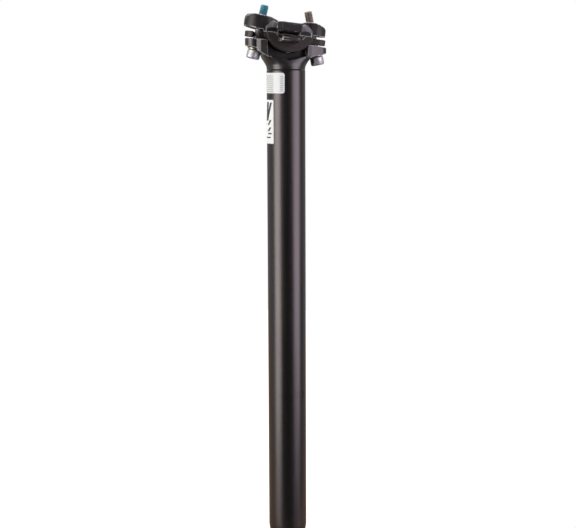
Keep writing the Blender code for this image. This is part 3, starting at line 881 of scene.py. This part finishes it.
def sheet(name, node, middle, half_angle, low, high, corner, material):
    """A thin film with round corners, wrapped on the tube; UVs run 0-1 across and up."""
    inner, outer = TUBE_R + 0.03, TUBE_R + 0.14
    half_width = half_angle * outer
    columns = 64
    bm = bmesh.new()
    uv = bm.loops.layers.uv.new("sheet")
    rows = []
    for i in range(columns + 1):
        t = -math.cos(math.pi * i / columns)
        along = t * half_width
        inset = max(0.0, abs(along) - (half_width - corner))
        cut = corner - math.sqrt(max(corner ** 2 - inset ** 2, 0.0))
        angle = middle + along / outer
        c, s = math.cos(angle), math.sin(angle)
        z0, z1 = low + cut, high - cut
        rows.append([bm.verts.new(p) for p in ((inner * c, inner * s, z0), (outer * c, outer * s, z0),
                                               (outer * c, outer * s, z1), (inner * c, inner * s, z1))])
    for a, b in zip(rows[:-1], rows[1:]):
        for i in range(4):
            j = (i + 1) % 4
            bm.faces.new((a[i], b[i], b[j], a[j]))
    bm.faces.new(rows[0])
    bm.faces.new(list(reversed(rows[-1])))
    bmesh.ops.recalc_face_normals(bm, faces=bm.faces)
    for face in bm.faces:
        for loop in face.loops:
            x, y, z = loop.vert.co
            turned = (math.atan2(y, x) - middle + math.pi) % (2 * math.pi) - math.pi
            loop[uv].uv = (0.5 + turned / (2 * half_angle), (z - low) / (high - low))
    piece(name, bm, node, "post", material, sharp=50)


def labels():
    bars = [(0.75, 0.60, 0.86 - 0.095 * k, 0.82 - 0.095 * k, 0.0) for k in range(9)]
    bars += [(0.975, 0.07, 0.84 - 0.088 * k, 0.80 - 0.088 * k, 0.0) for k in range(9)]
    spec = printed("spec_film", (0.72, 0.72, 0.71), (0.38, 0.38, 0.38), bars)
    sheet("spec_sheet", "spec_label", math.pi, math.radians(73.0), SEAM_Z - 16.1, SEAM_Z - 1.9, 1.6, spec)
    fan = [(0.72, 0.20, 0.95, 0.52, 0.15), (0.92, 0.12, 0.94, 0.53, 0.62), (0.89, 0.12, 0.54, 0.42, 1.4),
           (0.89, 0.13, 0.37, 0.28, 1.9), (0.89, 0.24, 0.245, 0.213, 0.0), (0.84, 0.68, 0.155, 0.125, 0.0)]
    fan += [(1.0 - right + width, width, top, bottom, -slant)
            for right, width, top, bottom, slant in fan[1:5]]
    plain = printed("decal_film", (0.78, 0.78, 0.77), (0.03, 0.03, 0.03), fan)
    sheet("decal_sheet", "plain_decal", math.pi, math.radians(37.0), SEAM_Z - 51.2, SEAM_Z - 20.7, 0.8, plain)


# ---------------------------------------------------------------------- stage

def camera():
    data = bpy.data.cameras.new("camera")
    data.lens = LENS
    data.sensor_width = 36.0
    data.clip_start = 0.01
    data.shift_x = CAM_SHIFT
    cam = bpy.data.objects.new("camera", data)
    bpy.context.collection.objects.link(cam)
    back = Vector((math.sin(CAM_AZ), -math.cos(CAM_AZ), 0.0))
    cam.location = back * CAM_DIST + Vector((0.0, 0.0, SEAM_Z * MM))
    aim = Matrix.Rotation(CAM_AZ, 4, "Z") @ Matrix.Rotation(math.radians(90.0) - CAM_DOWN, 4, "X")
    cam.rotation_euler = (aim @ Matrix.Rotation(CAM_ROLL, 4, "Z")).to_euler()
    bpy.context.scene.camera = cam


def panel(name, place, look, size, power, colour):
    data = bpy.data.lights.new(name, "AREA")
    data.shape = "RECTANGLE"
    data.size, data.size_y = size
    data.energy = power
    data.color = colour
    lamp = bpy.data.objects.new(name, data)
    bpy.context.collection.objects.link(lamp)
    lamp.location = place
    lamp.rotation_euler = (Vector(look) - Vector(place)).to_track_quat("-Z", "Y").to_euler()


def room():
    """A round pale floor under and behind the part, in a white room."""
    bm = bmesh.new()
    centre = bm.verts.new((0.0, FLOOR_BACK, 0.0))
    rim = [bm.verts.new((x, y, 0.0)) for x, y in circle(FLOOR_R, 96, centre=(0.0, FLOOR_BACK))]
    for a, b in zip(rim, rim[1:] + rim[:1]):
        bm.faces.new((centre, a, b))
    mesh = bpy.data.meshes.new("floor")
    bm.to_mesh(mesh)
    bm.free()
    floor = bpy.data.objects.new("floor", mesh)
    bpy.context.collection.objects.link(floor)
    mesh.shade_smooth()
    look = Look("floor", (0.30, 0.21, 0.15), 0.0, 0.9, Specular_IOR_Level=0.0,
                Emission_Color=(1.0, 1.0, 1.0, 1.0))
    seen = look.add("ShaderNodeLightPath").outputs["Is Camera Ray"]
    look.link(look.math("MULTIPLY", seen, FLOOR_GLOW), look.shader.inputs["Emission Strength"])
    mesh.materials.append(look.material)


def lights():
    """Soft panels beside and above, in a room that is pale behind the part and dark before it."""
    world = bpy.data.worlds.new("world")
    bpy.context.scene.world = world
    world.use_nodes = True
    world.node_tree.nodes["Background"].inputs["Color"].default_value = (1.0, 1.0, 1.0, 1.0)
    nodes, links = world.node_tree.nodes, world.node_tree.links
    place = nodes.new("ShaderNodeTexCoord")
    split = nodes.new("ShaderNodeSeparateXYZ")
    links.new(place.outputs["Generated"], split.inputs["Vector"])
    fade = nodes.new("ShaderNodeMapRange")
    fade.interpolation_type = "SMOOTHSTEP"
    fade.inputs["From Min"].default_value = -0.3
    fade.inputs["From Max"].default_value = 0.5
    fade.inputs["To Min"].default_value = FRONT_GLOW
    fade.inputs["To Max"].default_value = BACK_GLOW
    links.new(split.outputs["Y"], fade.inputs["Value"])
    seen = nodes.new("ShaderNodeLightPath")
    pick = nodes.new("ShaderNodeMix")
    links.new(seen.outputs["Is Camera Ray"], pick.inputs["Factor"])
    links.new(fade.outputs["Result"], pick.inputs["A"])
    pick.inputs["B"].default_value = 1.0
    links.new(pick.outputs["Result"], nodes["Background"].inputs["Strength"])
    for name, (place, size, power, colour) in PANELS.items():
        panel(name, place, (0.0, 0.0, 0.2), size, power, colour)
    bpy.context.scene.view_settings.view_transform = "Standard"


camera()
room()
lights()
tube()
head()
lower_clamp()
upper_clamp()
for which in ("rear", "front"):
    bolt(which)
    washer(which)
    barrel_nut(which)
thread_patch()
labels()
